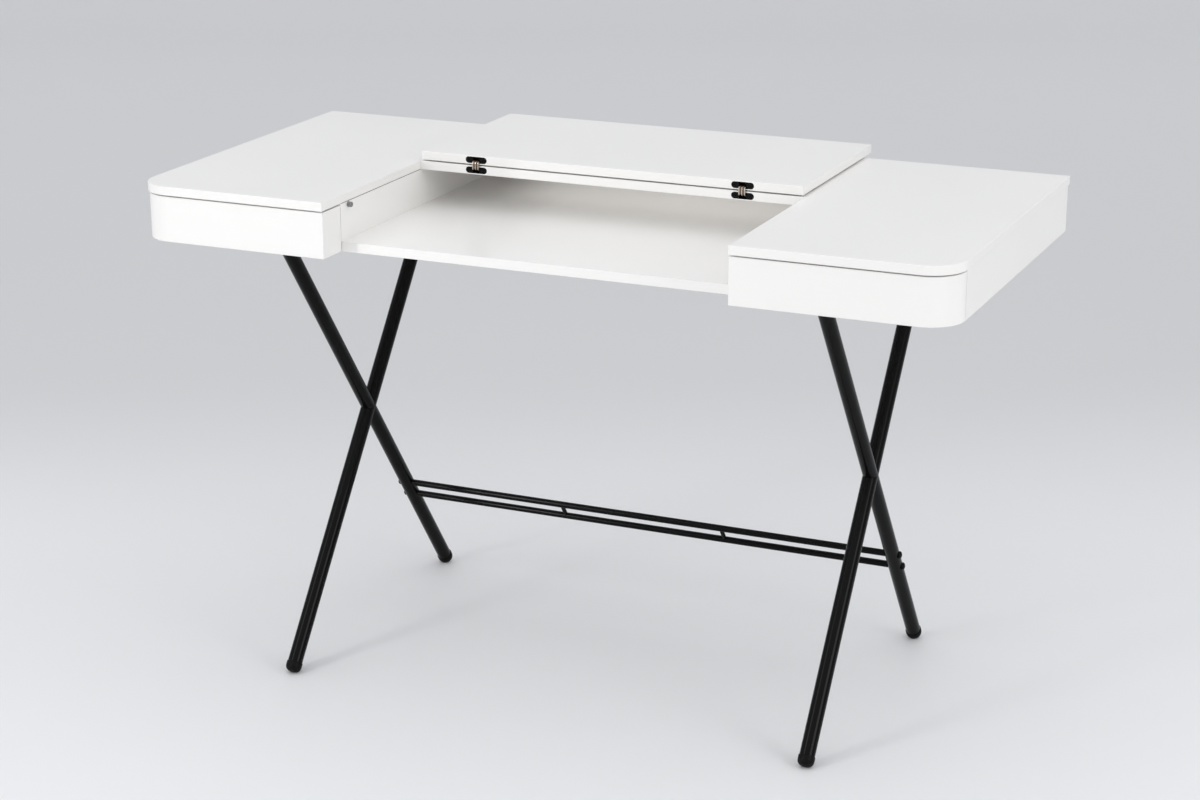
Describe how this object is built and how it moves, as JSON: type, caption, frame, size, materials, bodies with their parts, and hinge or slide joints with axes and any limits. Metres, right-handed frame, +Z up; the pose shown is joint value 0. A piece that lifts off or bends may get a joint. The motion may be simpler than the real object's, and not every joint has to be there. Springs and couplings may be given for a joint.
{
  "type": "flip top desk",
  "caption": "Writing desk with a drawer box at each side, an open bay between them, a front leaf that folds back on concealed hinges, and X frames of round tube.",
  "frame": {"origin": "on the floor under the middle of the desk's overall box, with the front leaf folded back and the drawers shut", "axes": "+X to the right of a person seated at the desk, +Y away from them to the back, +Z up"},
  "size_m": [1.21, 0.596, 0.755],
  "materials": {
    "white_lacquer": "satin white lacquer",
    "drawer_board": "matt white board",
    "zinc_rail": "bright zinc",
    "black_steel": "semi-gloss black powder coat",
    "black_cap": "smooth black",
    "black_cup": "black",
    "hinge_link": "satin bronzed nickel",
    "steel_pin": "turned steel"
  },
  "bodies": {
    "desk_frame": {"bay_back_rail": "white_lacquer", "foot_caps": "black_cap", "hinge_rear_cups": "black_cup", "hinge_rear_pivot_pins": "steel_pin", "leaf_support_pins": "steel_pin", "left_box_back": "white_lacquer", "left_box_bottom": "white_lacquer", "left_box_rails": "zinc_rail", "left_inner_side_panel": "white_lacquer", "left_lid": "white_lacquer", "left_long_leg_tube": "black_steel", "left_outer_side_panel": "white_lacquer", "left_short_leg_lower_tube": "black_steel", "left_short_leg_upper_tube": "black_steel", "leg_mounting_plates": "black_steel", "lower_stretcher_rod": "black_steel", "rear_leaf": "white_lacquer", "right_box_back": "white_lacquer", "right_box_bottom": "white_lacquer", "right_box_rails": "zinc_rail", "right_inner_side_panel": "white_lacquer", "right_lid": "white_lacquer", "right_long_leg_tube": "black_steel", "right_outer_side_panel": "white_lacquer", "right_short_leg_lower_tube": "black_steel", "right_short_leg_upper_tube": "black_steel", "shelf": "white_lacquer", "stretcher_screws": "black_steel", "stretcher_spacers": "black_steel", "upper_stretcher_rod": "black_steel"},
    "front_leaf": {"front_leaf": "white_lacquer", "hinge_front_cups": "black_cup", "hinge_front_pivot_pins": "steel_pin"},
    "hinge_rear_links": {"hinge_rear_links": "hinge_link"},
    "hinge_front_links": {"hinge_crossing_pins": "steel_pin", "hinge_front_links": "hinge_link"},
    "left_drawer": {"left_drawer_back": "drawer_board", "left_drawer_bottom": "drawer_board", "left_drawer_front": "white_lacquer", "left_drawer_inner_side": "drawer_board", "left_drawer_outer_side": "drawer_board", "left_drawer_rails": "zinc_rail"},
    "right_drawer": {"right_drawer_back": "drawer_board", "right_drawer_bottom": "drawer_board", "right_drawer_front": "white_lacquer", "right_drawer_inner_side": "drawer_board", "right_drawer_outer_side": "drawer_board", "right_drawer_rails": "zinc_rail"}
  },
  "joints": [
    {"name": "front_leaf_fold", "type": "hinge", "parent": "desk_frame", "child": "front_leaf", "pos_m": [0, -0.00475, 0.741], "axis": [1, 0, 0], "range_deg": [0, 180]},
    {"name": "rear_links_turn", "type": "hinge", "parent": "desk_frame", "child": "hinge_rear_links", "pos_m": [0, -0.00115, 0.7362], "axis": [1, 0, 0], "range_deg": [0, 90]},
    {"name": "front_links_turn", "type": "hinge", "parent": "front_leaf", "child": "hinge_front_links", "pos_m": [0, -0.00115, 0.7458], "axis": [1, 0, 0], "range_deg": [-90, 0]},
    {"name": "left_drawer_slide", "type": "slide", "parent": "desk_frame", "child": "left_drawer", "axis": [0, -1, 0], "range_m": [0, 0.35]},
    {"name": "right_drawer_slide", "type": "slide", "parent": "desk_frame", "child": "right_drawer", "axis": [0, -1, 0], "range_m": [0, 0.35]}
  ],
  "couplings": [
    {"joint": "rear_links_turn", "follows": "front_leaf_fold", "ratio": 0.5},
    {"joint": "front_links_turn", "follows": "front_leaf_fold", "ratio": -0.5}
  ]
}
